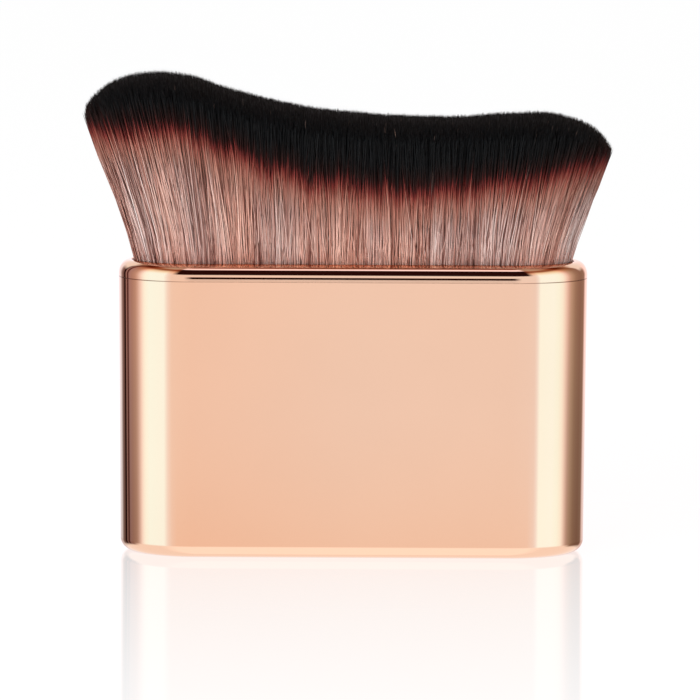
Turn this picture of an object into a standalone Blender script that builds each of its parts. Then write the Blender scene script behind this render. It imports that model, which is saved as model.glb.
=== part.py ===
"""A wide body makeup brush: a plated stadium handle with a separate rim, and a fanned head cut to a wave.

Run it with blender --background --python part.py, or from the text editor. Lengths are in metres, +Z is up,
the origin is the middle of the flat base, +X runs along the handle's width and the face looks along -Y.
"""

import math
import random

import bmesh
import bpy
from mathutils import Matrix, Vector

# Handle: a stadium in plan, widest at the seam and drafted to the base as a moulding is.
HANDLE_WIDTH = 0.0750
HANDLE_DEPTH = 0.0250
SHELL_HEIGHT = 0.0440
DRAFT_ANGLE = math.radians(0.4)
BASE_FILLET = 0.0019
SEAM_EDGE = 0.00025

# Shell walls. The mouth is thinner than the wall below it, which leaves a ledge for the tray to hang on.
MOUTH_WALL = 0.0010
LEDGE_WIDTH = 0.0010
SHELL_FLOOR = 0.0024
INNER_FILLET = 0.0010

# Ribs inside the shell: pairs on the long walls carry the tray and locate the bar, and one stops each end of the bar.
RIB_THICKNESS = 0.0012
RIB_PITCH = 0.0170
RIB_PAIRS = 3
END_RIB_RISE = 0.0010

# Rim: a shoulder that is a quarter of an ellipse, a narrow flat land and a skirt that plugs into the mouth.
SHOULDER_DROP = 0.0022
RIM_BAND = 0.0001
LAND_WIDTH = 0.00015
OPENING_EDGE = 0.00015
SKIRT_WALL = 0.0008
SKIRT_LENGTH = 0.0060

# Tray that holds the roots.
TRAY_DEPTH = 0.0110
TRAY_WALL = 0.0010
TRAY_FLOOR = 0.0012
FLANGE_THICKNESS = 0.0012

# Roots: how far they reach down into the tray, and the band tied round them there. Adhesive fills what is below.
ROOT_DEPTH = 0.0042
BAND_THICKNESS = 0.0005
BAND_HEIGHT = 0.0024
BAND_EDGE = 0.0001

# Ballast bar and the foam pad that holds it to the floor.
BAR_LENGTH = 0.0480
BAR_DEPTH = 0.0120
BAR_HEIGHT = 0.0090
BAR_EDGE = 0.0006
PAD_MARGIN = 0.0010
PAD_THICKNESS = 0.0010
PAD_EDGE = 0.0001

# Head. Heights are above the rim's land, and the places along the head are shares of its half width.
ROOT_SINK = 0.0004
END_FAN_ANGLE = math.radians(20.5)
FACE_FAN_ANGLE = math.radians(9.0)
HIGH_CREST = 0.0299
DIP = 0.0230
LOW_CREST = 0.0238
HIGH_END_FALL = 0.0074
LOW_END_FALL = 0.0065
CROWN_FALL = 0.0034
HIGH_CREST_SHARE = -0.68
DIP_SHARE = 0.31
LOW_CREST_SHARE = 0.64
CROWN_FLAT_SHARE = 0.40
CREST_ROUNDING = 1.35
CREST_STEEPNESS = 2.6

# Strands of the head: each stands for a lock of filaments, four-sided, and widens as the head fans out.
STRAND_PITCH = 0.00180
STRAND_GAP = 0.00052
STRAND_POINT = 0.0038
STRAND_MARGIN = 0.0001
STRAND_SIDES = 4
LENGTH_SCATTER = 0.0006
PLACE_SCATTER = 0.00008
SCATTER_SEED = 7

# Fits. Faces that touch on the real brush stand this far apart, and a cutter or joined piece overruns by this much.
CLEARANCE = 0.0003
OVERRUN = 0.0005

# Facets.
END_STEPS = 24
FILLET_STEPS = 6
EDGE_STEPS = 3
SMOOTH_ANGLE = math.radians(30)

# Derived places, from the floor up.
END_CENTRE = (HANDLE_WIDTH - HANDLE_DEPTH) / 2
SEAM_RADIUS = HANDLE_DEPTH / 2
SHELL_TOP = SHELL_HEIGHT - CLEARANCE / 2
RIM_BOTTOM = SHELL_HEIGHT + CLEARANCE / 2
SHOULDER_BOTTOM = RIM_BOTTOM + SEAM_EDGE + RIM_BAND
RIM_TOP = SHOULDER_BOTTOM + SHOULDER_DROP
SKIRT_BOTTOM = SHELL_TOP - SKIRT_LENGTH
FLANGE_TOP = SKIRT_BOTTOM - CLEARANCE
FLANGE_BOTTOM = FLANGE_TOP - FLANGE_THICKNESS
LEDGE = FLANGE_BOTTOM - CLEARANCE
TRAY_BOTTOM = FLANGE_TOP - TRAY_DEPTH
RIB_TOP = TRAY_BOTTOM - CLEARANCE
ROOT_BOTTOM = FLANGE_TOP - ROOT_DEPTH
EPOXY_BOTTOM = TRAY_BOTTOM + TRAY_FLOOR + CLEARANCE
EPOXY_TOP = ROOT_BOTTOM - CLEARANCE
BAND_TOP = ROOT_BOTTOM + BAND_HEIGHT
ROOT_TOP = RIM_TOP - ROOT_SINK
PAD_BOTTOM = SHELL_FLOOR + CLEARANCE
BAR_BOTTOM = PAD_BOTTOM + PAD_THICKNESS + CLEARANCE
BAR_TOP = BAR_BOTTOM + BAR_HEIGHT

# Derived radii of the stadium's ends, from the outside in.
MOUTH_RADIUS = SEAM_RADIUS - MOUTH_WALL
SKIRT_RADIUS = MOUTH_RADIUS - CLEARANCE
OPENING_RADIUS = SKIRT_RADIUS - SKIRT_WALL
LAND_RADIUS = OPENING_RADIUS + OPENING_EDGE + LAND_WIDTH


def outer_radius(height):
    """Radius of the handle's ends at a height on the drafted wall."""
    return SEAM_RADIUS - (SHELL_HEIGHT - height) * math.tan(DRAFT_ANGLE)


def inner_radius(height):
    """Radius of the shell's cavity below the ledge."""
    return outer_radius(height) - MOUTH_WALL - LEDGE_WIDTH


TRAY_RADIUS = inner_radius(TRAY_BOTTOM) - CLEARANCE
TRAY_INSIDE = TRAY_RADIUS - TRAY_WALL
BAND_RADIUS = TRAY_INSIDE - CLEARANCE
NECK_RADIUS = BAND_RADIUS - BAND_THICKNESS - CLEARANCE
ROOT_RADIUS = min(OPENING_RADIUS, TRAY_INSIDE) - CLEARANCE
HEAD_RADIUS = OPENING_RADIUS - CLEARANCE
STRAND_ROOT = (STRAND_PITCH - STRAND_GAP) / 2
STRAND_RADIUS = HEAD_RADIUS - STRAND_ROOT - PLACE_SCATTER - STRAND_MARGIN
HEAD_HALF_WIDTH = END_CENTRE + STRAND_RADIUS

# Colours: base colour, roughness and metallic value of each piece.
FINISHES = {
    "handle_shell": ((0.87, 0.565, 0.41), 0.06, 1.0),
    "rim_bezel": ((0.87, 0.565, 0.41), 0.05, 1.0),
    "bristles": ((0.19, 0.085, 0.075), 0.55, 0.0),
    "bristle_cup": ((0.62, 0.60, 0.57), 0.45, 0.0),
    "epoxy_bed": ((0.72, 0.66, 0.50), 0.25, 0.0),
    "root_band": ((0.80, 0.77, 0.70), 0.85, 0.0),
    "counterweight": ((0.42, 0.42, 0.44), 0.35, 1.0),
    "weight_tape": ((0.85, 0.85, 0.83), 0.80, 0.0),
}


def clear_scene():
    """Removes whatever the file opened with."""
    for old in list(bpy.data.objects):
        bpy.data.objects.remove(old, do_unlink=True)


def new_collection(name):
    """A collection linked to the scene."""
    made = bpy.data.collections.new(name)
    bpy.context.scene.collection.children.link(made)
    return made


def finish_of(name):
    """The piece's own material, from the table of finishes."""
    colour, roughness, metallic = FINISHES[name]
    made = bpy.data.materials.new(name)
    made.use_nodes = True
    shader = made.node_tree.nodes["Principled BSDF"]
    shader.inputs["Base Color"].default_value = (*colour, 1.0)
    shader.inputs["Roughness"].default_value = roughness
    shader.inputs["Metallic"].default_value = metallic
    made.diffuse_color = (*colour, 1.0)
    return made


def object_from(shape, name, collection):
    """Writes a bmesh to a new object in a collection."""
    bmesh.ops.recalc_face_normals(shape, faces=shape.faces)
    mesh = bpy.data.meshes.new(name)
    shape.to_mesh(mesh)
    shape.free()
    made = bpy.data.objects.new(name, mesh)
    collection.objects.link(made)
    return made


def finish_piece(piece):
    """Gives a piece its material and smooth shading between its edges."""
    piece.data.materials.append(finish_of(piece.name))
    piece.data.shade_smooth()
    piece.data.set_sharp_from_angle(angle=SMOOTH_ANGLE)
    return piece


def stadium(radius, height):
    """Points round a stadium: a half circle at each end, END_STEPS facets each, joined by the straight sides."""
    points = []
    for centre, first in ((END_CENTRE, -math.pi / 2), (-END_CENTRE, math.pi / 2)):
        for step in range(END_STEPS + 1):
            angle = first + math.pi * step / END_STEPS
            points.append((centre + radius * math.cos(angle), radius * math.sin(angle), height))
    return points


def sweep_round(profile, name, collection, closed):
    """Sweeps a profile of (end radius, height) points round the stadium.

    A closed profile makes a ring. An open one starts and ends in flat faces, so it makes a block or a cup.
    """
    shape = bmesh.new()
    loops = [[shape.verts.new(point) for point in stadium(radius, height)] for radius, height in profile]
    pairs = list(zip(loops, loops[1:]))
    if closed:
        pairs.append((loops[-1], loops[0]))
    count = len(loops[0])
    for lower, upper in pairs:
        for index in range(count):
            after = (index + 1) % count
            shape.faces.new((lower[index], lower[after], upper[after], upper[index]))
    if not closed:
        shape.faces.new(loops[0])
        shape.faces.new(loops[-1])
    return object_from(shape, name, collection)


def quarter_arc(centre, across, up, start, end, steps):
    """Points on a quarter ellipse about (radius, height), between two angles from the outward direction."""
    points = []
    for step in range(steps + 1):
        angle = start + (end - start) * step / steps
        points.append((centre[0] + across * math.cos(angle), centre[1] + up * math.sin(angle)))
    return points


def box(shape, low, high):
    """Adds a box between two corners."""
    size = Vector(high) - Vector(low)
    middle = (Vector(high) + Vector(low)) / 2
    place = Matrix.Translation(middle) @ Matrix.Diagonal((*size, 1))
    bmesh.ops.create_cube(shape, size=1, matrix=place)


def join_to(piece, other, name):
    """Joins a helper to a piece with a live union, and keeps the helper out of the render."""
    other.hide_render = True
    other.display_type = "WIRE"
    union = piece.modifiers.new(name, "BOOLEAN")
    union.operation = "UNION"
    union.object = other


def rounded_block(size, bottom, edge, name, collection):
    """A cuboid on the middle line with its edges rounded."""
    length, depth, height = size
    shape = bmesh.new()
    box(shape, (-length / 2, -depth / 2, bottom), (length / 2, depth / 2, bottom + height))
    made = object_from(shape, name, collection)
    rounding = made.modifiers.new("edge", "BEVEL")
    rounding.width = edge
    rounding.segments = EDGE_STEPS
    return made


def shell_profile():
    """Down one side of the shell's section: base, wall, mouth, ledge and cavity, ending at the floor."""
    base = outer_radius(BASE_FILLET) - BASE_FILLET
    points = quarter_arc((base, BASE_FILLET), BASE_FILLET, BASE_FILLET, -math.pi / 2, 0, FILLET_STEPS)
    top = outer_radius(SHELL_TOP)
    points += quarter_arc((top - SEAM_EDGE, SHELL_TOP - SEAM_EDGE), SEAM_EDGE, SEAM_EDGE, 0, math.pi / 2, EDGE_STEPS)
    points += [(MOUTH_RADIUS, SHELL_TOP), (MOUTH_RADIUS, LEDGE), (inner_radius(LEDGE), LEDGE)]
    foot = inner_radius(SHELL_FLOOR + INNER_FILLET) - INNER_FILLET
    turn = quarter_arc((foot, SHELL_FLOOR + INNER_FILLET), INNER_FILLET, INNER_FILLET, 0, -math.pi / 2, FILLET_STEPS)
    return points + turn


def shell_ribs(collection):
    """Upright ribs: pairs on the long walls from the floor to the tray, and one against each end of the bar."""
    shape = bmesh.new()
    face = BAR_DEPTH / 2 + CLEARANCE
    back = inner_radius(RIB_TOP) + OVERRUN
    floor = SHELL_FLOOR - OVERRUN
    for index in range(RIB_PAIRS):
        x = (index - (RIB_PAIRS - 1) / 2) * RIB_PITCH
        for side in (1, -1):
            near, far = sorted((side * face, side * back))
            low = (x - RIB_THICKNESS / 2, near, floor)
            high = (x + RIB_THICKNESS / 2, far, RIB_TOP)
            box(shape, low, high)
    stop = BAR_LENGTH / 2 + CLEARANCE
    wall = END_CENTRE + inner_radius(SHELL_FLOOR) + OVERRUN
    for side in (1, -1):
        near, far = sorted((side * stop, side * wall))
        box(shape, (near, -RIB_THICKNESS / 2, floor), (far, RIB_THICKNESS / 2, BAR_TOP + END_RIB_RISE))
    return object_from(shape, "shell_ribs", collection)


def make_shell(parts, helpers):
    """Moulded cup with ribs, plated outside."""
    shell = sweep_round(shell_profile(), "handle_shell", parts, closed=False)
    join_to(shell, shell_ribs(helpers), "ribs")
    return finish_piece(shell)


def make_rim(parts):
    """Plated ring: shoulder, land, opening and the skirt that plugs into the shell."""
    opening = (OPENING_RADIUS + OPENING_EDGE, RIM_TOP - OPENING_EDGE)
    shoulder = (LAND_RADIUS, SHOULDER_BOTTOM)
    foot = (SEAM_RADIUS - SEAM_EDGE, RIM_BOTTOM + SEAM_EDGE)
    profile = quarter_arc(opening, OPENING_EDGE, OPENING_EDGE, math.pi, math.pi / 2, EDGE_STEPS)
    profile += quarter_arc(shoulder, SEAM_RADIUS - LAND_RADIUS, SHOULDER_DROP, math.pi / 2, 0, FILLET_STEPS)
    profile += quarter_arc(foot, SEAM_EDGE, SEAM_EDGE, 0, -math.pi / 2, EDGE_STEPS)
    profile += [(SKIRT_RADIUS, RIM_BOTTOM), (SKIRT_RADIUS, SKIRT_BOTTOM), (OPENING_RADIUS, SKIRT_BOTTOM)]
    return finish_piece(sweep_round(profile, "rim_bezel", parts, closed=True))


def make_tray(parts):
    """Tray whose flange lies on the shell's ledge, under the rim's skirt."""
    profile = [
        (TRAY_RADIUS, TRAY_BOTTOM),
        (TRAY_RADIUS, FLANGE_BOTTOM),
        (SKIRT_RADIUS, FLANGE_BOTTOM),
        (SKIRT_RADIUS, FLANGE_TOP),
        (TRAY_INSIDE, FLANGE_TOP),
        (TRAY_INSIDE, TRAY_BOTTOM + TRAY_FLOOR),
    ]
    return finish_piece(sweep_round(profile, "bristle_cup", parts, closed=False))


def make_epoxy(parts):
    """Bed of adhesive on the tray's floor."""
    profile = [(BAND_RADIUS, EPOXY_BOTTOM), (BAND_RADIUS, EPOXY_TOP)]
    return finish_piece(sweep_round(profile, "epoxy_bed", parts, closed=False))


def make_band(parts):
    """Band tied round the neck of the packed roots."""
    inside = BAND_RADIUS - BAND_THICKNESS
    profile = [
        (inside, BAND_TOP),
        (BAND_RADIUS - BAND_EDGE, BAND_TOP),
        (BAND_RADIUS, BAND_TOP - BAND_EDGE),
        (BAND_RADIUS, ROOT_BOTTOM + BAND_EDGE),
        (BAND_RADIUS - BAND_EDGE, ROOT_BOTTOM),
        (inside, ROOT_BOTTOM),
    ]
    return finish_piece(sweep_round(profile, "root_band", parts, closed=True))


def wave_height(place):
    """Height of the cut above the land, at a share of the half width from -1 on the left to 1 on the right."""
    if place < HIGH_CREST_SHARE:
        out = (HIGH_CREST_SHARE - place) / (1 + HIGH_CREST_SHARE)
        return HIGH_CREST - HIGH_END_FALL * (1 - math.sqrt(max(0, 1 - out**2)))
    if place < DIP_SHARE:
        along = (place - HIGH_CREST_SHARE) / (DIP_SHARE - HIGH_CREST_SHARE)
        return DIP + (HIGH_CREST - DIP) * (1 - along**CREST_ROUNDING) ** CREST_STEEPNESS
    if place < LOW_CREST_SHARE:
        along = (place - DIP_SHARE) / (LOW_CREST_SHARE - DIP_SHARE)
        return DIP + (LOW_CREST - DIP) * (1 - math.cos(math.pi * along)) / 2
    out = (place - LOW_CREST_SHARE) / (1 - LOW_CREST_SHARE)
    return LOW_CREST - LOW_END_FALL * (1 - math.sqrt(max(0, 1 - out**2)))


def crown_fall(across):
    """How far the cut falls towards the front and back, at a share of the half depth there."""
    out = max(0, abs(across) - CROWN_FLAT_SHARE) / (1 - CROWN_FLAT_SHARE)
    return CROWN_FALL * (1 - math.sqrt(max(0, 1 - out**2)))


def strand_roots():
    """Places of the strands on the top of the packed roots: staggered rows that fill the stadium."""
    roots = []
    rows = round(2 * STRAND_RADIUS / (STRAND_PITCH * math.sqrt(3) / 2))
    for row in range(rows + 1):
        y = STRAND_RADIUS * (2 * row / rows - 1)
        inset = STRAND_PITCH / 2 if row % 2 else 0
        half_row = END_CENTRE + math.sqrt(max(0, STRAND_RADIUS**2 - y**2)) - inset
        gaps = round(2 * half_row / STRAND_PITCH)
        roots += [(half_row * (2 * index / gaps - 1), y) for index in range(gaps + 1)]
    return roots


def strand_rise(x, y):
    """Height of the cut above a root, falling from the wave towards the front and back."""
    bulge = max(0, abs(x) - END_CENTRE)
    half_depth = math.sqrt(max(0, STRAND_RADIUS**2 - bulge**2)) + STRAND_MARGIN
    return wave_height(x / HEAD_HALF_WIDTH) - crown_fall(min(1, abs(y) / half_depth)) + ROOT_SINK


def add_strand(shape, x, y, rise, twist):
    """A four-sided strand that leans out in proportion to its place, with its end drawn up to a point."""
    end_spread = math.tan(END_FAN_ANGLE) / HEAD_HALF_WIDTH
    face_spread = math.tan(FACE_FAN_ANGLE) / STRAND_RADIUS
    along = Vector((x * end_spread, y * face_spread, 1))
    shaft = (rise - STRAND_POINT) * along.length
    unit = along.normalized()
    shoulder = (STRAND_PITCH * (1 + (rise - STRAND_POINT) * min(end_spread, face_spread)) - STRAND_GAP) / 2
    low = Vector((x, y, ROOT_TOP)) - unit * OVERRUN
    turn = Vector((0, 0, 1)).rotation_difference(unit).to_matrix().to_4x4() @ Matrix.Rotation(twist, 4, "Z")
    made = bmesh.ops.create_cone(
        shape,
        cap_ends=True,
        segments=STRAND_SIDES,
        radius1=STRAND_ROOT,
        radius2=shoulder,
        depth=shaft + OVERRUN,
        matrix=Matrix.Translation(low + unit * (shaft + OVERRUN) / 2) @ turn,
    )
    faces = {face for vert in made["verts"] for face in vert.link_faces}
    top = max(faces, key=lambda face: face.calc_center_median().dot(unit))
    bmesh.ops.poke(shape, faces=[top], offset=STRAND_POINT)


def make_head(parts, helpers):
    """The packed roots, necked for the band, and the strands that fan out of them."""
    profile = [
        (NECK_RADIUS, ROOT_BOTTOM),
        (NECK_RADIUS, BAND_TOP + CLEARANCE),
        (ROOT_RADIUS, BAND_TOP + CLEARANCE),
        (ROOT_RADIUS, FLANGE_TOP + CLEARANCE),
        (HEAD_RADIUS, FLANGE_TOP + CLEARANCE),
        (HEAD_RADIUS, ROOT_TOP),
    ]
    head = sweep_round(profile, "bristles", parts, closed=False)
    scatter = random.Random(SCATTER_SEED)
    shape = bmesh.new()
    for x, y in strand_roots():
        rise = strand_rise(x, y) + scatter.uniform(-LENGTH_SCATTER, LENGTH_SCATTER)
        x += scatter.uniform(-PLACE_SCATTER, PLACE_SCATTER)
        y += scatter.uniform(-PLACE_SCATTER, PLACE_SCATTER)
        add_strand(shape, x, y, rise, scatter.uniform(0, math.pi))
    join_to(head, object_from(shape, "strands", helpers), "strands")
    return finish_piece(head)


def make_ballast(parts):
    """Steel bar on its foam pad, on the shell's floor."""
    pad_size = (BAR_LENGTH - 2 * PAD_MARGIN, BAR_DEPTH - 2 * PAD_MARGIN, PAD_THICKNESS)
    pad = rounded_block(pad_size, PAD_BOTTOM, PAD_EDGE, "weight_tape", parts)
    bar = rounded_block((BAR_LENGTH, BAR_DEPTH, BAR_HEIGHT), BAR_BOTTOM, BAR_EDGE, "counterweight", parts)
    return finish_piece(pad), finish_piece(bar)


def main():
    """Builds every piece of the brush."""
    clear_scene()
    parts = new_collection("makeup_brush")
    helpers = new_collection("joined_shapes")
    make_shell(parts, helpers)
    make_rim(parts)
    make_tray(parts)
    make_epoxy(parts)
    make_band(parts)
    make_head(parts, helpers)
    make_ballast(parts)


if __name__ == "__main__":
    main()
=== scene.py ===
"""Visual model of a wide body makeup brush: a plated stadium handle and a fanned head of filaments.

Lengths are in metres and angles in degrees. +Z is up, and the origin is the middle of the flat base. +X runs
along the handle's width towards the lower crest of the head's wave. The camera sees the face towards -Y.
"""

import logging
import math
from abc import ABC, abstractmethod
from dataclasses import dataclass, field
from enum import Enum

import bpy
import numpy as np
from bpy.types import Material, Node, NodeTree
from bpy.types import NodeSocket as Socket
from bpy.types import Object as Piece
from mathutils import Matrix, Vector


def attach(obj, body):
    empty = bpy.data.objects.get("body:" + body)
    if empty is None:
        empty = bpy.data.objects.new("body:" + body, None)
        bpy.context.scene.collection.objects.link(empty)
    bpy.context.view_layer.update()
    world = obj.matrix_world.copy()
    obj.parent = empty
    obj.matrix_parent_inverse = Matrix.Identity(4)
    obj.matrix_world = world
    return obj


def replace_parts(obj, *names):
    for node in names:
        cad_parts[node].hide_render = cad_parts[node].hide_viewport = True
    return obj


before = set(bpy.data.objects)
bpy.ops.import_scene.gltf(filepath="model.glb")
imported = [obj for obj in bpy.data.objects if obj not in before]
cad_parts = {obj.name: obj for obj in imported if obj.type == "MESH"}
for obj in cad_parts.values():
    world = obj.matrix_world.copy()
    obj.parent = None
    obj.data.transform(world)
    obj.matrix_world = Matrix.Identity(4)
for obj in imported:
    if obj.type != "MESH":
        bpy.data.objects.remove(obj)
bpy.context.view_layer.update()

LOG = logging.getLogger("makeup_brush")
BODY = "root"
SEAM_HEIGHT = 0.0440
RIM_TOP = 0.0467
HALF_LENGTH = 0.0250
SEAM_RADIUS = 0.0125
BLACK_START = 0.5
STRAND_MAP = "strand"
BAKE_MAP = "OFBake"

Array = np.ndarray
Triple = tuple[float, float, float]
Value = Socket | float | Triple
Stops = tuple[tuple[float, ...], ...]


# Node trees


class NodeBoard:
    """Adds nodes to one tree, and sets or links their inputs as it makes them."""

    def __init__(self, tree: NodeTree) -> None:
        """Keeps the tree that nodes are added to."""
        self.tree = tree

    def feed(self, socket: Socket, value: Value) -> None:
        """Links a socket to another one, or sets its value.

        Args:
            socket: the input.
            value: an output socket, a number, or a tuple. A number makes a neutral colour.
        """
        if isinstance(value, Socket):
            self.tree.links.new(value, socket)
        elif socket.type == "RGBA":
            colour = value if isinstance(value, tuple) else (value, value, value)
            socket.default_value = (*colour, 1.0)
        else:
            socket.default_value = value

    def add(self, kind: str, inputs: dict | None = None, **settings: object) -> Node:
        """Adds a node.

        Args:
            kind: the node's type, without its ShaderNode prefix.
            inputs: values or sockets by input name or index.
            settings: properties of the node.

        Returns:
            The new node.
        """
        node = self.tree.nodes.new("ShaderNode" + kind)
        for name, value in settings.items():
            setattr(node, name, value)
        for key, value in (inputs or {}).items():
            self.feed(node.inputs[key], value)
        return node

    def math(self, operation: str, first: Value, second: Value = 0.0, clamp: bool = False) -> Socket:
        """The result of one sum on two values."""
        return self.add("Math", {0: first, 1: second}, operation=operation, use_clamp=clamp).outputs[0]

    def times(self, first: Value, second: Value) -> Socket:
        """Two values multiplied."""
        return self.math("MULTIPLY", first, second)

    def ramp(self, factor: Socket, stops: Stops, ease: bool = False) -> Socket:
        """A colour ramp over a factor.

        Args:
            factor: a socket from 0 to 1.
            stops: rows of a place and then a colour or one value.
            ease: True for soft steps.

        Returns:
            The ramp's colour.
        """
        node = self.add("ValToRGB", {"Fac": factor})
        line = node.color_ramp
        line.interpolation = "EASE" if ease else "LINEAR"
        while len(line.elements) < len(stops):
            line.elements.new(1.0)
        for element, (place, *shade) in zip(line.elements, stops):
            element.position = place
            element.color = (*(shade if len(shade) == 3 else shade * 3), 1.0)
        return node.outputs["Color"]

    def mix(self, factor: Value, first: Value, second: Value, blend: str = "MIX") -> Socket:
        """A mix of two colours."""
        inputs = {0: factor, 6: first, 7: second}
        return self.add("Mix", inputs, data_type="RGBA", blend_type=blend).outputs[2]

    def tint(self, first: Value, second: Value) -> Socket:
        """Two colours multiplied."""
        return self.mix(1.0, first, second, "MULTIPLY")

    def noise(self, place: Socket, scale: float, detail: float = 2.0, rough: float = 0.5) -> Socket:
        """A noise value over a place."""
        inputs = {"Vector": place, "Scale": scale, "Detail": detail, "Roughness": rough}
        return self.add("TexNoise", inputs).outputs["Fac"]

    def stretched(self, place: Socket, scale: Triple) -> Socket:
        """A place scaled by a different share along each axis."""
        return self.add("Mapping", {"Vector": place, "Scale": scale}).outputs["Vector"]

    def split(self, place: Socket) -> list[Socket]:
        """The three parts of a place."""
        return list(self.add("SeparateXYZ", {"Vector": place}).outputs)

    def group(self, tree: NodeTree, place: Socket, **values: float) -> Node:
        """Adds a node group over a place, with its own values."""
        return self.add("Group", {"Vector": place, **values}, node_tree=tree)

    def object_place(self) -> Socket:
        """The piece's own coordinates."""
        return self.add("TexCoord").outputs["Object"]

    def surface(self, shader: Node, colour: Socket, height: Socket, strength: float, distance: float) -> None:
        """Feeds a shader's colour, and its relief from a height.

        Args:
            shader: the Principled BSDF.
            colour: what feeds Base Color.
            height: what feeds the bump.
            strength: the bump's strength.
            distance: the bump's distance.
        """
        self.feed(shader.inputs["Base Color"], colour)
        bump = self.add("Bump", {"Strength": strength, "Distance": distance, "Height": height})
        self.feed(shader.inputs["Normal"], bump.outputs["Normal"])


class GroupBoard(NodeBoard):
    """A board on a new shader node group, with named value inputs and outputs beside a Vector input."""

    def __init__(self, name: str, values: dict[str, float], results: tuple[str, ...]) -> None:
        """Makes the group, its sockets, and the Vector input times the Scale input as its place.

        Args:
            name: the group's name.
            values: the name and first value of each value input, Scale among them.
            results: the names of the outputs.
        """
        super().__init__(bpy.data.node_groups.new(name, "ShaderNodeTree"))
        sockets = self.tree.interface
        sockets.new_socket("Vector", in_out="INPUT", socket_type="NodeSocketVector")
        for label, value in values.items():
            sockets.new_socket(label, in_out="INPUT", socket_type="NodeSocketFloat").default_value = value
        for label in results:
            sockets.new_socket(label, in_out="OUTPUT", socket_type="NodeSocketFloat")
        self.given = self.tree.nodes.new("NodeGroupInput").outputs
        self.result = self.tree.nodes.new("NodeGroupOutput").inputs
        scaled = self.add("VectorMath", {0: self.given["Vector"], 3: self.given["Scale"]}, operation="SCALE")
        self.place = scaled.outputs["Vector"]


def handling_marks() -> NodeTree:
    """Group: soft smudges and fine straight rubs that change how a hard surface shines.

    The smudge is a broad noise raised to a power, and the rub is a noise stretched along X.

    Returns:
        The group's tree.
    """
    group = GroupBoard("handling_marks", {"Smudge": 0.5, "Rub": 0.5, "Scale": 1.0}, ("Mark",))
    smudge = group.math("POWER", group.noise(group.place, scale=70.0, detail=4.0, rough=0.6), 3.0)
    lines = group.stretched(group.place, (60.0, 900.0, 2600.0))
    rub = group.math("POWER", group.noise(lines, scale=1.0, detail=3.0, rough=0.7), 6.0)
    smudge = group.times(smudge, group.given["Smudge"])
    rub = group.times(rub, group.given["Rub"])
    group.feed(group.result["Mark"], group.math("ADD", smudge, rub, clamp=True))
    return group.tree


def moulded_grain() -> NodeTree:
    """Group: the fine even relief of a moulded or cast surface, as a height and a tone.

    Returns:
        The group's tree.
    """
    group = GroupBoard("moulded_grain", {"Scale": 1.0, "Depth": 1.0}, ("Height", "Tone"))
    fine = group.noise(group.place, scale=2400.0, detail=3.0, rough=0.6)
    broad = group.noise(group.place, scale=130.0)
    height = group.math("ADD", fine, group.times(broad, 0.6))
    group.feed(group.result["Height"], group.times(height, group.given["Depth"]))
    group.feed(group.result["Tone"], broad)
    return group.tree


@dataclass(frozen=True)
class SharedEffects:
    """Node groups that more than one finish uses, built once."""

    marks: NodeTree = field(default_factory=handling_marks)
    grain: NodeTree = field(default_factory=moulded_grain)


# Finishes


@dataclass(frozen=True)
class Finish(ABC):
    """A material: its even values, and a method that adds what varies over the surface."""

    name: str
    colour: Triple
    roughness: float
    metallic: float = 0.0
    specular: float = 0.5
    effects: SharedEffects | None = None

    def toned(self, share: float) -> Triple:
        """The even colour, darker or paler by a share."""
        return tuple(min(1.0, value * share) for value in self.colour)

    def material(self) -> Material:
        """Builds the material.

        Returns:
            The new material, with one Principled BSDF.
        """
        made = bpy.data.materials.new(self.name)
        made.use_nodes = True
        made.diffuse_color = (*self.colour, 1.0)
        shader = made.node_tree.nodes["Principled BSDF"]
        shader.inputs["Base Color"].default_value = (*self.colour, 1.0)
        shader.inputs["Roughness"].default_value = self.roughness
        shader.inputs["Metallic"].default_value = self.metallic
        shader.inputs["Specular IOR Level"].default_value = self.specular
        self.dress(NodeBoard(made.node_tree), shader)
        return made

    @abstractmethod
    def dress(self, board: NodeBoard, shader: Node) -> None:
        """Adds the colour, shine and relief that vary over the surface.

        Args:
            board: adds nodes to the material's tree.
            shader: the Principled BSDF.
        """


@dataclass(frozen=True)
class PlatedFinish(Finish):
    """Mirror-bright plating on moulded plastic: a tint drift, smudges, faint rubs and painted shade at the
    seam.
    """

    drift: float = 0.03
    smudge: float = 0.05
    painted_shade_half: float = 0.00012
    painted_seam_shade: Triple = (0.25, 0.12, 0.08)
    shade_start: float = 0.0245
    shade_full: float = 0.0325

    def dress(self, board: NodeBoard, shader: Node) -> None:
        """Varies the tint by noise and the roughness by the handling marks, and paints shade on the seam's
        ends.

        The painted shade stands for the dark of the seam's groove. It fades over a half width to each side of
        the seam, and grows along X from its start until it is full.

        Args:
            board: adds nodes to the material's tree.
            shader: the Principled BSDF.
        """
        place = board.object_place()
        drift = board.noise(place, scale=45.0, detail=3.0)
        plain = board.mix(drift, self.toned(1 - self.drift), self.toned(1 + self.drift))
        x, _, z = board.split(place)
        # Painted shade: a dark band along the seam, strongest towards the handle's two ends.
        off = board.math("ABSOLUTE", board.math("SUBTRACT", z, SEAM_HEIGHT))
        near = board.math("SUBTRACT", 1.0, board.math("DIVIDE", off, self.painted_shade_half, clamp=True))
        out = board.math("SUBTRACT", board.math("ABSOLUTE", x), self.shade_start)
        out = board.math("DIVIDE", out, self.shade_full - self.shade_start, clamp=True)
        shade = board.mix(board.times(near, out), 1.0, self.painted_seam_shade)
        marks = board.group(self.effects.marks, place, Smudge=0.5, Rub=0.5)
        worn = board.times(marks.outputs["Mark"], self.smudge)
        board.feed(shader.inputs["Roughness"], board.math("ADD", worn, self.roughness))
        grain = board.group(self.effects.grain, place, Scale=0.25, Depth=1.0)
        height = grain.outputs["Height"]
        board.surface(shader, board.tint(plain, shade), height, strength=0.02, distance=0.00002)


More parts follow.
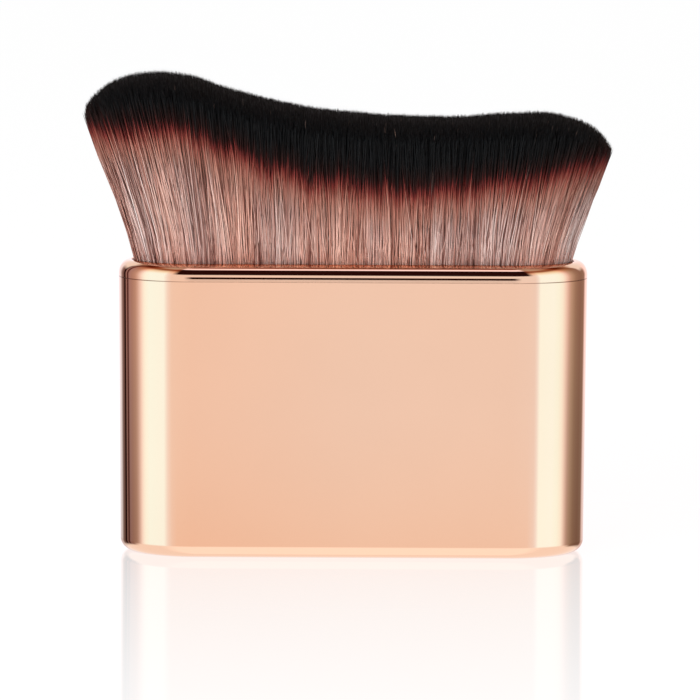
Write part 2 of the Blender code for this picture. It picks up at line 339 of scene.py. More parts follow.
@dataclass(frozen=True)
class HairFinish(Finish):
    """Dyed filament: the strand map's U is the filament's zone and tone, and its V the place along the dye.

    U times the count of zones is the zone, with the tone as its fraction. Below the dye each filament has one
    of a row of tones, tinted from warm to cool by its zone. The dye bleeds down it, and above it all turn
    brick, maroon and then black. Only as seen in polished metal, the foot of the hair is painted darker and
    redder: a painted reflection shade.
    """

    tones: Stops = (
        (0, 0.1, 0.034, 0.028), (0.18, 0.26, 0.105, 0.08), (0.36, 0.56, 0.295, 0.235),
        (0.52, 0.76, 0.475, 0.395), (0.7, 0.84, 0.57, 0.485), (0.86, 0.88, 0.64, 0.555),
        (1, 0.91, 0.71, 0.625))
    dyes: Stops = (
        (0.4, 0.5, 0.24, 0.185), (0.43, 0.4, 0.155, 0.115), (0.455, 0.28, 0.083, 0.059),
        (0.474, 0.187, 0.0285, 0.0245), (0.488, 0.075, 0.0115, 0.0107), (0.5, 0.023, 0.0062, 0.0058),
        (0.525, 0.0085, 0.0043, 0.0043), (0.55, 0.0028, 0.004, 0.005))
    dye_mask: Stops = ((0.375, 0), (0.455, 1))
    bleed: Stops = (
        (0.167, 1), (0.267, 0.97, 0.96, 0.95), (0.305, 0.945, 0.92, 0.9), (0.327, 0.9, 0.85, 0.83),
        (0.347, 0.85, 0.78, 0.76), (0.368, 0.77, 0.69, 0.67), (0.39, 0.68, 0.59, 0.56),
        (0.412, 0.57, 0.48, 0.44))
    fleck_stretch: Triple = (140.0, 26.0, 1.0)
    fleck_shade: Stops = ((0.3, 0.84), (0.7, 1.0))
    zones: int = 6
    warm: Triple = (1.0, 0.97, 0.955)
    cool: Triple = (0.905, 1.045, 1.15)
    sheen_tint: Triple = (1.0, 0.80, 0.72)
    pale_delay: float = 0.030
    stray_tone: float = 0.983
    stray_clear: float = 0.40
    painted_reflection_reach: float = 0.003
    painted_foot_reflection: Triple = (0.80, 0.54, 0.42)

    def dress(self, board: NodeBoard, shader: Node) -> None:
        """Mixes the filament's tone with the dye by the place along it, and paints shade on its foot for
        mirrored rays.

        Args:
            board: adds nodes to the material's tree.
            shader: the Principled BSDF.
        """
        board.feed(shader.inputs["Specular Tint"], self.sheen_tint)
        strand = board.add("UVMap", uv_map=STRAND_MAP).outputs["UV"]
        across, along, _ = board.split(strand)
        both = board.times(across, float(self.zones))
        tone, zone = board.math("FRACT", both), board.math("FLOOR", both)
        warmth = board.mix(board.math("DIVIDE", zone, self.zones - 1.0), self.warm, self.cool)
        plain = board.tint(board.ramp(tone, self.tones), warmth)
        fleck = board.noise(board.stretched(strand, self.fleck_stretch), scale=1.0)
        plain = board.tint(plain, board.ramp(fleck, self.fleck_shade))
        late = board.times(board.math("SUBTRACT", tone, 0.5), self.pale_delay)
        along = board.math("SUBTRACT", along, late)
        plain = board.tint(plain, board.ramp(along, self.bleed))
        stray = board.math("GREATER_THAN", tone, self.stray_tone)
        cover = board.math("SUBTRACT", 1.0, board.times(stray, self.stray_clear))
        cover = board.times(board.ramp(along, self.dye_mask), cover)
        dyed = board.mix(cover, plain, board.ramp(along, self.dyes))
        # Painted reflection shade: in glossy rays only, the lowest millimetres of each filament turn darker
        # and redder.
        above = board.math("SUBTRACT", board.split(board.object_place())[2], RIM_TOP)
        foot = board.math("SUBTRACT", 1.0, board.math("DIVIDE", above, self.painted_reflection_reach, clamp=True))
        mirrored = board.add("LightPath").outputs["Is Glossy Ray"]
        painted_reflection_tint = board.mix(board.times(foot, mirrored), 1.0, self.painted_foot_reflection)
        board.feed(shader.inputs["Base Color"], board.tint(dyed, painted_reflection_tint))


@dataclass(frozen=True)
class RootFinish(Finish):
    """Roots packed side by side and soaked in resin, dark partly as painted shade between filaments: fine
    streaks.
    """

    streak: Triple = (0.2, 0.1, 0.06)

    def dress(self, board: NodeBoard, shader: Node) -> None:
        """Draws streaks with a noise stretched along Z, which also gives the relief.

        Args:
            board: adds nodes to the material's tree.
            shader: the Principled BSDF.
        """
        lines = board.noise(board.stretched(board.object_place(), (9000.0, 9000.0, 160.0)), scale=1.0)
        streaks = board.mix(lines, self.colour, self.streak)
        board.surface(shader, streaks, lines, strength=0.4, distance=0.0001)


@dataclass(frozen=True)
class MouldedFinish(Finish):
    """Plain moulded plastic: a faint tone drift, grain, and marks that dull it here and there."""

    shade: float = 0.9
    dulling: float = 0.3

    def dress(self, board: NodeBoard, shader: Node) -> None:
        """Varies colour, roughness and relief with the shared groups.

        Args:
            board: adds nodes to the material's tree.
            shader: the Principled BSDF.
        """
        place = board.object_place()
        grain = board.group(self.effects.grain, place, Scale=1.0, Depth=1.0)
        marks = board.group(self.effects.marks, place, Smudge=0.8, Rub=0.4)
        worn = board.times(marks.outputs["Mark"], self.dulling)
        board.feed(shader.inputs["Roughness"], board.math("ADD", worn, self.roughness))
        colour = board.mix(grain.outputs["Tone"], self.toned(self.shade), self.colour)
        board.surface(shader, colour, grain.outputs["Height"], strength=0.25, distance=0.00005)


@dataclass(frozen=True)
class ResinFinish(Finish):
    """Cured adhesive: amber, glossy, with small bubbles near the surface."""

    bubble: Triple = (0.85, 0.8, 0.66)
    bubble_scale: float = 900.0

    def dress(self, board: NodeBoard, shader: Node) -> None:
        """Draws round bubbles from the distance to scattered points, and a flowing relief.

        Args:
            board: adds nodes to the material's tree.
            shader: the Principled BSDF.
        """
        place = board.object_place()
        cells = board.add("TexVoronoi", {"Vector": place, "Scale": self.bubble_scale}).outputs["Distance"]
        dots = board.ramp(cells, ((0.1, 1.0), (0.22, 0.0)), ease=True)
        flow = board.noise(place, scale=260.0, detail=3.0)
        board.surface(shader, board.mix(dots, self.colour, self.bubble), flow, strength=0.3, distance=0.0001)


@dataclass(frozen=True)
class WovenFinish(Finish):
    """Cotton tape: threads that cross, from two sets of waves."""

    thread_scale: float = 900.0
    shade: float = 0.72

    def dress(self, board: NodeBoard, shader: Node) -> None:
        """Multiplies an upright and a level set of threads for the shade and the relief.

        Args:
            board: adds nodes to the material's tree.
            shader: the Principled BSDF.
        """
        waves = {"Vector": board.object_place(), "Scale": self.thread_scale, "Distortion": 0.6, "Detail": 1.0}
        level, upright = (board.add("TexWave", waves, bands_direction=way).outputs["Fac"] for way in "ZX")
        weave = board.times(level, upright)
        colour = board.mix(weave, self.toned(self.shade), self.colour)
        board.surface(shader, colour, weave, strength=0.6, distance=0.0001)


@dataclass(frozen=True)
class SawnSteelFinish(Finish):
    """Sawn steel bar: lines along its length and a few brown oxide spots."""

    oxide: Triple = (0.2, 0.09, 0.04)
    line_rough: float = 0.25
    line_base: float = 0.1
    spot_rough: float = 0.3

    def dress(self, board: NodeBoard, shader: Node) -> None:
        """Draws the saw lines and the spots, and roughens both.

        Args:
            board: adds nodes to the material's tree.
            shader: the Principled BSDF.
        """
        place = board.object_place()
        lines = board.noise(board.stretched(place, (30.0, 2600.0, 2600.0)), scale=1.0, detail=3.0)
        spots = board.noise(place, scale=420.0, detail=4.0, rough=0.65)
        spots = board.ramp(spots, ((0.66, 0.0), (0.74, 1.0)))
        rough = board.times(lines, self.line_rough)
        rough = board.math("ADD", rough, self.roughness - self.line_base)
        rough = board.math("ADD", rough, board.times(spots, self.spot_rough))
        board.feed(shader.inputs["Roughness"], rough)
        spotted = board.mix(spots, self.colour, self.oxide)
        board.surface(shader, spotted, lines, strength=0.25, distance=0.00005)


@dataclass(frozen=True)
class FoamFinish(Finish):
    """Closed-cell foam tape: small cells with paler walls."""

    cell_scale: float = 2200.0
    shade: float = 0.8

    def dress(self, board: NodeBoard, shader: Node) -> None:
        """Takes shade and relief from the distance to the cells' centres, which is greatest in the walls.

        Args:
            board: adds nodes to the material's tree.
            shader: the Principled BSDF.
        """
        inputs = {"Vector": board.object_place(), "Scale": self.cell_scale}
        cells = board.add("TexVoronoi", inputs).outputs["Distance"]
        colour = board.mix(cells, self.toned(self.shade), self.colour)
        board.surface(shader, colour, cells, strength=0.5, distance=0.0001)


# Meshes


def mesh_piece(name: str, points: Array, faces: list[Array]) -> Piece:
    """Writes arrays to a new smooth-shaded object at the origin.

    Args:
        name: the piece's name.
        points: one row of x, y, z each.
        faces: arrays of corner indices, one array for each number of corners.

    Returns:
        The object, linked to the scene.
    """
    mesh = bpy.data.meshes.new(name)
    corners = np.concatenate([part.ravel() for part in faces]).astype(np.int32)
    sizes = np.concatenate([np.full(len(part), part.shape[1]) for part in faces])
    starts = np.concatenate([[0], np.cumsum(sizes)[:-1]]).astype(np.int32)
    mesh.vertices.add(len(points))
    mesh.vertices.foreach_set("co", points.astype(np.float32).ravel())
    mesh.loops.add(len(corners))
    mesh.loops.foreach_set("vertex_index", corners)
    mesh.polygons.add(len(starts))
    mesh.polygons.foreach_set("loop_start", starts)
    mesh.update(calc_edges=True)
    mesh.validate()
    mesh.shade_smooth()
    piece = bpy.data.objects.new(name, mesh)
    bpy.context.scene.collection.objects.link(piece)
    return piece


def bands(rings: int, columns: int, closed: bool = False) -> Array:
    """Quads between neighbouring rings of points.

    Args:
        rings: how many rings there are.
        columns: points in a ring.
        closed: True to join the last ring to the first.

    Returns:
        Four point indices for each quad, ring by ring.
    """
    near = np.arange(columns)
    after = np.roll(near, -1)
    lower = np.arange(rings if closed else rings - 1)[:, None] * columns
    upper = (lower + columns) % (rings * columns)
    return np.stack([lower + near, lower + after, upper + after, upper + near], axis=2).reshape(-1, 4)


def arc(centre: tuple[float, float], across: float, up: float, start: float, end: float, steps: int) -> Array:
    """Points of a quarter ellipse in (radius, height).

    Each is the centre plus (across times the cosine, up times the sine) of an angle that runs evenly between
    start and end.

    Args:
        centre: the ellipse's middle.
        across: its half width.
        up: its half height.
        start: first angle from the outward direction.
        end: last angle.
        steps: how many parts the arc has.

    Returns:
        Rows of radius and height.
    """
    angles = np.radians(np.linspace(start, end, steps + 1))
    return np.column_stack([centre[0] + across * np.cos(angles), centre[1] + up * np.sin(angles)])


@dataclass(frozen=True)
class Stadium:
    """The plan shape that every round-ended piece follows: two half circles joined by straight sides."""

    half_length: float = HALF_LENGTH
    end_steps: int = 72
    side_margin: float = 0.0002

    def directions(self) -> tuple[Array, Array]:
        """Base points on the middle line, and unit directions out of it, in order round the shape.

        Each end has evenly spaced directions over half a turn. A row just inside each end's first and last
        direction keeps the straight sides flat under smooth shading.

        Returns:
            The base points and the directions, as rows of x and y.
        """
        turn = np.radians(np.linspace(-90, 90, self.end_steps + 1))
        flat = self.half_length - self.side_margin
        right = np.concatenate([[flat], np.full(len(turn), self.half_length), [flat]])
        angles = np.concatenate([[turn[0]], turn, [turn[-1]]])
        bases = np.concatenate([right, -right])
        angles = np.concatenate([angles, angles + math.pi])
        middle = np.column_stack([bases, np.zeros_like(bases)])
        return middle, np.column_stack([np.cos(angles), np.sin(angles)])

    def sweep(self, name: str, profile: Array, closed: bool) -> Piece:
        """Carries a profile of (radius, height) round the shape.

        A point is the base point plus the radius along its direction, at the profile's height. The profile
        runs anticlockwise: out at the bottom, up the outside and in at the top. An open one gets flat caps.

        Args:
            name: the piece's name.
            profile: rows of radius and height.
            closed: True for a ring, False for a block or cup.

        Returns:
            The piece.
        """
        middle, out = self.directions()
        rows, columns = len(profile), len(middle)
        plan = middle[None] + profile[:, None, :1] * out[None]
        heights = np.broadcast_to(profile[:, None, 1:], (rows, columns, 1))
        points = np.concatenate([plan, heights], axis=2).reshape(-1, 3)
        faces = [bands(rows, columns, closed)]
        if not closed:
            near = np.arange(columns)
            after, last = np.roll(near, -1), (rows - 1) * columns
            foot, crown = len(points), len(points) + 1
            points = np.concatenate([points, [[0, 0, profile[0, 1]], [0, 0, profile[-1, 1]]]])
            faces.append(np.column_stack([np.full(columns, foot), after, near]))
            faces.append(np.column_stack([np.full(columns, crown), last + near, last + after]))
        return mesh_piece(name, points, faces)


def boxes(name: str, lows: Array, highs: Array) -> Piece:
    """Closed boxes between pairs of corners, in one piece.

    Args:
        name: the piece's name.
        lows: the low corner of each box.
        highs: the high corner of each box.

    Returns:
        The piece.
    """
    pick = np.array([[i & 1, (i >> 1) & 1, (i >> 2) & 1] for i in range(8)])
    points = lows[:, None] + pick[None] * (highs - lows)[:, None]
    sides = np.array([[0, 2, 3, 1], [4, 5, 7, 6], [0, 1, 5, 4], [2, 6, 7, 3], [0, 4, 6, 2], [1, 3, 7, 5]])
    faces = (np.arange(len(lows))[:, None, None] * 8 + sides[None]).reshape(-1, 4)
    return mesh_piece(name, points.reshape(-1, 3), [faces])


def wear(piece: Piece, material: Material) -> Piece:
    """Gives a new piece its material, its body and its slot, and reports it.

    Args:
        piece: the new piece.
        material: its material.

    Returns:
        The same piece.
    """
    piece.data.materials.append(material)
    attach(piece, BODY)
    LOG.info("%s: %d faces", piece.name, len(piece.data.polygons))
    return piece


# Handle


@dataclass
class Handle:
    """The plated cup and rim of the handle, with fine facets, over the CAD solids that they stand for."""

    plan: Stadium
    draft: float = 0.4
    base_fillet: float = 0.0019
    seam_gap: float = 0.00001
    seam_edge: float = 0.00002
    mouth_wall: float = 0.0010
    ledge_width: float = 0.0010
    ledge_height: float = 0.03605
    floor: float = 0.0024
    inner_fillet: float = 0.0010
    rib_thickness: float = 0.0012
    rib_pitch: float = 0.0170
    rib_face: float = 0.0063
    rib_top: float = 0.02625
    rib_edge: float = 0.00015
    rib_edge_steps: int = 2
    bar_stop: float = 0.0243
    bar_stop_top: float = 0.0140
    sink: float = 0.0004
    shoulder_drop: float = 0.0022
    opening_radius: float = 0.0104
    opening_edge: float = 0.00015
    land_width: float = 0.00015
    skirt_radius: float = 0.0112
    skirt_bottom: float = 0.03785
    support: float = 0.00008
    seam_support: float = 0.00001
    base_steps: int = 16
    inner_steps: int = 8
    edge_steps: int = 6
    shoulder_steps: int = 32

    def outside(self, height: float) -> float:
        """Radius of the drafted wall at a height."""
        return SEAM_RADIUS - (SEAM_HEIGHT - height) * math.tan(math.radians(self.draft))

    def shell_profile(self) -> Array:
        """Section of the cup: base, rounded corner, wall, mouth, ledge and cavity.

        A support row lies just inside each flat beside a curve, closest at the seam, so that smooth shading
        keeps the flat true.

        Returns:
            Rows of radius and height.
        """
        fillet, edge, inner = self.base_fillet, self.seam_edge, self.inner_fillet
        base = self.outside(fillet) - fillet
        top = SEAM_HEIGHT - self.seam_gap / 2
        wall, below = self.outside(top), top - edge - self.seam_support
        mouth = SEAM_RADIUS - self.mouth_wall
        cavity = mouth - self.ledge_width
        foot = cavity - inner
        rows = [
            [[base - self.support, 0.0]],
            arc((base, fillet), fillet, fillet, -90, 0, self.base_steps),
            [[self.outside(fillet + self.support), fillet + self.support], [self.outside(below), below]],
            arc((wall - edge, top - edge), edge, edge, 0, 90, self.edge_steps),
            [[mouth + self.support, top], [mouth, top], [mouth, top - self.support]],
            [[mouth, self.ledge_height + self.support], [mouth, self.ledge_height]],
            [[cavity, self.ledge_height], [cavity, self.ledge_height - self.support]],
            arc((foot, self.floor + inner), inner, inner, 0, -90, self.inner_steps),
            [[foot - self.support, self.floor]],
        ]
        return np.concatenate(rows)

    def rim_profile(self) -> Array:
        """Section of the rim: skirt, seam edge, elliptical shoulder, narrow land and opening edge.

        Returns:
            Rows of radius and height.
        """
        edge, lip = self.seam_edge, self.opening_edge
        bottom = SEAM_HEIGHT + self.seam_gap / 2
        shoulder = RIM_TOP - self.shoulder_drop
        land = self.opening_radius + lip + self.land_width
        rows = [
            [[self.opening_radius, self.skirt_bottom], [self.skirt_radius, self.skirt_bottom]],
            [[self.skirt_radius, bottom], [self.skirt_radius + self.support, bottom]],
            arc((SEAM_RADIUS - edge, bottom + edge), edge, edge, -90, 0, self.edge_steps),
            [[SEAM_RADIUS, bottom + edge + self.seam_support], [SEAM_RADIUS, shoulder - self.support]],
            arc((land, shoulder), SEAM_RADIUS - land, self.shoulder_drop, 0, 90, self.shoulder_steps),
            arc((self.opening_radius + lip, RIM_TOP - lip), lip, lip, 90, 180, self.edge_steps),
        ]
        return np.concatenate(rows)

    def ribs(self) -> Piece:
        """Upright ribs on the long walls and at the ends of the ballast bar, with their edges rounded.

        Returns:
            The piece.
        """
        back = SEAM_RADIUS - self.mouth_wall - self.ledge_width + self.sink
        wall = self.plan.half_length + back
        low, half = self.floor - self.sink, self.rib_thickness / 2
        lows, highs = [], []
        for x in (-self.rib_pitch, 0.0, self.rib_pitch):
            for near, far in ((self.rib_face, back), (-back, -self.rib_face)):
                lows.append((x - half, near, low))
                highs.append((x + half, far, self.rib_top))
        for near, far in ((self.bar_stop, wall), (-wall, -self.bar_stop)):
            lows.append((near, -half, low))
            highs.append((far, half, self.bar_stop_top))
        piece = boxes("shell_ribs", np.array(lows), np.array(highs))
        piece.data.shade_flat()
        rounding = piece.modifiers.new("edge", "BEVEL")
        rounding.width, rounding.segments = self.rib_edge, self.rib_edge_steps
        return piece

    def build(self, plating: Material) -> None:
        """Makes the shell, its ribs and the rim, and dresses them.

        Args:
            plating: the material of all three.
        """
        shell = self.plan.sweep("shell_plated", self.shell_profile(), closed=False)
        wear(shell, plating)
        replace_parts(shell, "handle_shell")
        wear(self.ribs(), plating)
        rim = self.plan.sweep("rim_plated", self.rim_profile(), closed=True)
        wear(rim, plating)
        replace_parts(rim, "rim_bezel")


# Head


@dataclass(frozen=True)
class Curve:
    """A smooth line through control points that doesn't overshoot them, in a unit."""

    points: tuple[tuple[float, float], ...]
    unit: float = 1.0

    def at(self, place: Array) -> Array:
        """The line's height at each place.

        Between two points it is the cubic that meets both with their slopes. A point's slope is the weighted
        harmonic mean of the slopes beside it, or nothing where those differ in sign.

        Args:
            place: where to read the line.

        Returns:
            A height for each place.
        """
        x, y = np.array(self.points).T
        step = np.diff(x)
        rise = np.diff(y) / step
        before, after = 2 * step[1:] + step[:-1], step[1:] + 2 * step[:-1]
        same = rise[:-1] * rise[1:] > 0
        safe = np.where(same[:, None], np.column_stack([rise[:-1], rise[1:]]), 1.0)
        inner = np.where(same, (before + after) / (before / safe[:, 0] + after / safe[:, 1]), 0.0)
        slope = np.concatenate([rise[:1], inner, rise[-1:]])
        k = np.clip(np.searchsorted(x, place) - 1, 0, len(step) - 1)
        t = np.clip((place - x[k]) / step[k], 0, 1)
        start = (1 + 2 * t) * (1 - t) ** 2 * y[k] + t * (1 - t) ** 2 * step[k] * slope[k]
        end = t * t * (3 - 2 * t) * y[k + 1] + t * t * (t - 1) * step[k] * slope[k + 1]
        return (start + end) * self.unit


@dataclass(frozen=True)
class SmoothField:
    """A smooth random height over the plan, up to its strength: a table of random values, blended between."""

    cell: float
    seed: int
    strength: float
    size: int = 128

    def at(self, x: Array, y: Array) -> Array:
        """The field's value at each place.

        The place's share of its cell is eased by 3s^2 - 2s^3, and blends the four corners' values.

        Args:
            x: places along X.
            y: places along Y.

        Returns:
            A value for each place.
        """
        table = np.random.default_rng(self.seed).uniform(-1, 1, (self.size, self.size))
        u, v = x / self.cell + self.size / 2, y / self.cell + self.size / 2
        i, j = np.floor(u).astype(int), np.floor(v).astype(int)
        s, t = u - i, v - j
        s, t = s * s * (3 - 2 * s), t * t * (3 - 2 * t)
        i0, j0, i1, j1 = i % self.size, j % self.size, (i + 1) % self.size, (j + 1) % self.size
        low = table[i0, j0] * (1 - s) + table[i1, j0] * s
        high = table[i0, j1] * (1 - s) + table[i1, j1] * s
        return (low * (1 - t) + high * t) * self.strength


@dataclass
class Head:
    """The fanned head: packed roots, and tens of thousands of filaments cut to a wave and dyed at the tips.

    Places along X run from -1 to 1 over the width at the roots. The cut and the dye line are millimetres over
    the rim. A filament's own scatter is of its length, its leans along X and Y, its bows along X and Y, the
    start of its black, and its twist, in this order. The cut, the dye line and the drift are fitted to the
    photograph, and the seeds of lock_tone, broad_tone and zone_patch are picked to follow its broad streaks.
    """

    plan: Stadium
    count: int = 56000
    sections: int = 9
    seed: int = 7
    root_sink: float = 0.0001
    start_sink: float = 0.0009
    root_radius: float = 0.00962
    depth_share: float = 1.04
    width_share: float = 1.0043
    block_radius: float = 0.0103
    tray_radius: float = 0.0091
    band_radius: float = 0.0079
    root_bottom: float = 0.03335
    band_top: float = 0.03605
    tray_top: float = 0.03785
    sharp_angle: float = 40.0
    end_fan: float = 18.5
    right_fan: float = 1.05
    curl: float = 0.64
    fan_power: float = 2.8
    face_fan: float = 9.0
    sway: float = -0.35
    end_calm: float = 0.15
    calm_power: int = 6
    own: tuple[float, ...] = (0.00022, 0.042, 0.008, 0.00028, 0.00010, 0.0006, 0.00016)
    length_limits: tuple[float, float] = (-2.5, 2.0)
    lock_lean: SmoothField = SmoothField(0.0022, 11, 0.035)
    tuft_lean: SmoothField = SmoothField(0.0008, 17, 0.022)
    face_lean: SmoothField = SmoothField(0.0018, 12, 0.012)
    lock_bow: SmoothField = SmoothField(0.0013, 13, 0.00018)
    face_bow: SmoothField = SmoothField(0.0019, 14, 0.00010)
    fine_ragged: SmoothField = SmoothField(0.0008, 15, 0.0003)
    broad_ragged: SmoothField = SmoothField(0.0032, 16, 0.0005)
    crown_drop: float = 0.0034
    crown_flat_share: float = 0.40
    crown_least_depth: float = 0.55
    thickness: float = 0.000064
    thickness_range: tuple[float, float] = (0.82, 1.22)
    rings: tuple[float, ...] = (0.0, 0.22, 0.45, 0.72, 0.955)
    ring_scatter: tuple[float, ...] = (0.0, 0.03, 0.07, 0.07, 0.012, 0.0)
    taper: tuple[float, ...] = (1.0, 1.0, 1.0, 0.97, 0.80)
    sides: int = 3
    side_step: float = 0.002
    dye_span: float = 0.060
    shortest_black: float = 0.0012
    middle_tone: float = 0.50
    own_tone: float = 0.15
    tone_limits: tuple[float, float] = (0.02, 0.97)
    tuft_tone: SmoothField = SmoothField(0.00032, 21, 0.20)
    lock_tone: SmoothField = SmoothField(0.0013, 4038, 0.09)
    broad_tone: SmoothField = SmoothField(0.0045, 2360, 0.05)
    stray_tone: float = 0.990
    stray_share: float = 0.003
    zones: int = 6
    middle_zone: float = 0.5
    own_zone: float = 0.09
    zone_patch: SmoothField = SmoothField(0.0034, 2206, 0.62)
    end_cool: float = 0.35
    end_cool_power: int = 12
    cut: Curve = Curve((
        (-1, 23.1), (-0.985, 24.55), (-0.95, 26.4), (-0.88, 28.65), (-0.82, 29.45), (-0.76, 29.72),
        (-0.7, 29.5), (-0.65, 29.03), (-0.56, 27.56), (-0.38, 25.53), (-0.18, 24.05), (0.02, 23.3),
        (0.22, 22.85), (0.44, 22.7), (0.62, 23.25), (0.76, 23.5), (0.86, 22.65), (0.93, 21.15), (0.98, 18.95),
        (1, 17.8)), unit=0.001)
    dye_line: Curve = Curve((
        (-1, 22.4), (-0.92, 22.4), (-0.74, 22.3), (-0.66, 21.5), (-0.49, 18.2), (-0.29, 15.8),
        (-0.1, 13.8), (0.12, 13.2), (0.3, 12.4), (0.45, 13.4), (0.65, 14.4), (0.82, 15.5),
        (0.93, 17), (1, 17.8)), unit=0.001)
    drift: Curve = Curve((
        (-1, -0.04), (-0.83, -0.07), (-0.62, -0.025), (-0.4, -0.035), (-0.16, 0.02), (0, 0.045), (0.16, 0.03),
        (0.43, -0.01), (0.6, 0), (0.82, 0.035), (1, 0.04)))
    rng: np.random.Generator = field(init=False)

    def __post_init__(self) -> None:
        """Starts the seeded source of scatter."""
        self.rng = np.random.default_rng(self.seed)

    @property
    def half_width(self) -> float:
        """Half the head's width at the roots."""
        return (self.plan.half_length + self.root_radius) * self.width_share

    def roots(self) -> Array:
        """Places of the filaments' roots, evenly spread and unordered.

        The n-th point is n times two shares of the plastic number, each less its whole part, which fills a
        rectangle evenly. The points outside the stadium are left out.

        Returns:
            Rows of x and y.
        """
        plastic = 1.32471795724
        wide, deep = 2 * (self.plan.half_length + self.root_radius), 2 * self.root_radius
        filled = 1 - (4 - math.pi) * self.root_radius**2 / (wide * deep)
        order = np.arange(1, round(self.count / filled) + 1)
        spread = np.column_stack([order / plastic % 1.0, order / plastic**2 % 1.0]) - 0.5
        places = spread * (wide, deep)
        bulge = np.maximum(np.abs(places[:, 0]) - self.plan.half_length, 0)
        kept = places[np.hypot(bulge, places[:, 1]) < self.root_radius]
        return kept * (self.width_share, self.depth_share)

    def crown(self, x: Array, y: Array) -> Array:
        """How far the cut falls towards the front and back: an ellipse beyond the flat share of the depth.

        At the two ends, where the head's depth runs out, the ellipse keeps a least depth.

        Args:
            x: places of the roots along X.
            y: places of the roots along Y.

        Returns:
            A fall for each root.
        """
        bulge = np.maximum(np.abs(x) - self.plan.half_length, 0)
        depth = np.sqrt(np.clip(self.root_radius**2 - bulge**2, 0, None)) * self.depth_share + self.thickness
        depth = np.maximum(depth, self.crown_least_depth * self.root_radius)
        out = (np.clip(np.abs(y) / depth, 0, 1) - self.crown_flat_share) / (1 - self.crown_flat_share)
        return self.crown_drop * (1 - np.sqrt(np.clip(1 - np.clip(out, 0, 1) ** 2, 0, 1)))

    def centre_lines(self, roots: Array) -> tuple[Array, Array]:
        """The filaments' middle lines, and the heights at which their black ends start.

        A line leans with a power of its root's place along X, a little more on the right, and in proportion
        to its place along Y. Near the root the lean along X is less, by the curl times (1 - t)^3, where t is
        the share of the height. Locks of neighbours share a further lean and a bow, from smooth fields, and
        each filament adds some of its own, so that neighbours cross. Along X both are calmer near the ends.
        The bow follows 4t(1 - t) and the twist sin(2 pi t).

        Args:
            roots: places of the roots.

        Returns:
            Points by filament, ring and axis, and one height for each filament.
        """
        x, y = roots.T
        own = self.rng.normal(size=(len(self.own), len(roots)))
        own[0] = np.clip(own[0], *self.length_limits)
        own *= np.array(self.own)[:, None]
        own_length, own_lean, own_face_lean, own_bow, own_face_bow, own_dye, own_twist = own
        place = x / self.half_width
        calm = self.end_calm + (1 - self.end_calm) * (1 - np.abs(place) ** self.calm_power)
        steepness = np.abs(place) ** (self.fan_power - 1) * math.tan(math.radians(self.end_fan))
        fan = place * steepness * np.where(place > 0, self.right_fan, 1.0)
        stray_x = (self.lock_lean.at(x, y) + self.tuft_lean.at(x, y) + own_lean) * calm
        lean_y = y * math.tan(math.radians(self.face_fan)) / self.root_radius
        lean_y += self.face_lean.at(x, y) + own_face_lean

        def reached(line: Curve) -> Array:
            """The height over the base of a line over the rim, where each filament arrives at it.

            Args:
                line: the cut or the dye line.

            Returns:
                A height for each filament.
            """
            high = line.at(place)
            arrives = place + stray_x * high / (self.half_width + self.fan_power * steepness * high)
            return RIM_TOP + line.at(np.clip(arrives, -1, 1))

        cut = reached(self.cut) - self.crown(x, y)
        low = RIM_TOP - self.root_sink - self.start_sink
        shares = np.array([*self.rings, 1.0]) + self.rng.uniform(-1, 1, (len(roots), 1)) * self.ring_scatter
        rise = (cut + own_length - low)[:, None] * shares
        bow, twist = 4 * shares * (1 - shares), np.sin(2 * math.pi * shares)
        lean_x = (fan + stray_x + math.tan(math.radians(self.sway)))[:, None]
        lean_x = lean_x - (fan * self.curl)[:, None] * (1 - shares) ** 3
        bow_x = (self.lock_bow.at(x, y) + own_bow) * calm
        bow_y = self.face_bow.at(x, y) + own_face_bow
        points = np.stack([
            x[:, None] + lean_x * rise + bow_x[:, None] * bow + own_twist[:, None] * twist,
            y[:, None] + lean_y[:, None] * rise + bow_y[:, None] * bow,
            low + rise,
        ], axis=2)
        black = reached(self.dye_line) + self.fine_ragged.at(x, y) + self.broad_ragged.at(x, y) + own_dye
        return points, np.minimum(black, cut - self.shortest_black)

    def tones(self, roots: Array) -> Array:
        """Each filament's zone and tone in one number: the zone's index plus the tone, over the zones' count.

        A tone is a middle one plus a drift along the head, and its tuft's, its lock's, its neighbourhood's
        and its own share. Strays get the top end. The zones come in patches, and are cooler at the two ends.

        Args:
            roots: places of the roots.

        Returns:
            One number for each filament.
        """
        x, y = roots.T
        place = x / self.half_width
        tone = self.middle_tone + self.drift.at(place) + self.tuft_tone.at(x, y) + self.lock_tone.at(x, y)
        tone += self.broad_tone.at(x, y) + self.rng.normal(size=len(roots)) * self.own_tone
        stray = self.rng.uniform(size=len(roots)) < self.stray_share
        tone = np.where(stray, self.stray_tone, np.clip(tone, *self.tone_limits))
        zone = self.middle_zone + self.end_cool * np.abs(place) ** self.end_cool_power
        zone = zone + self.zone_patch.at(x, y) + self.rng.normal(size=len(roots)) * self.own_zone
        zone = np.clip(np.floor(zone * self.zones), 0, self.zones - 1)
        return (zone + tone) / self.zones

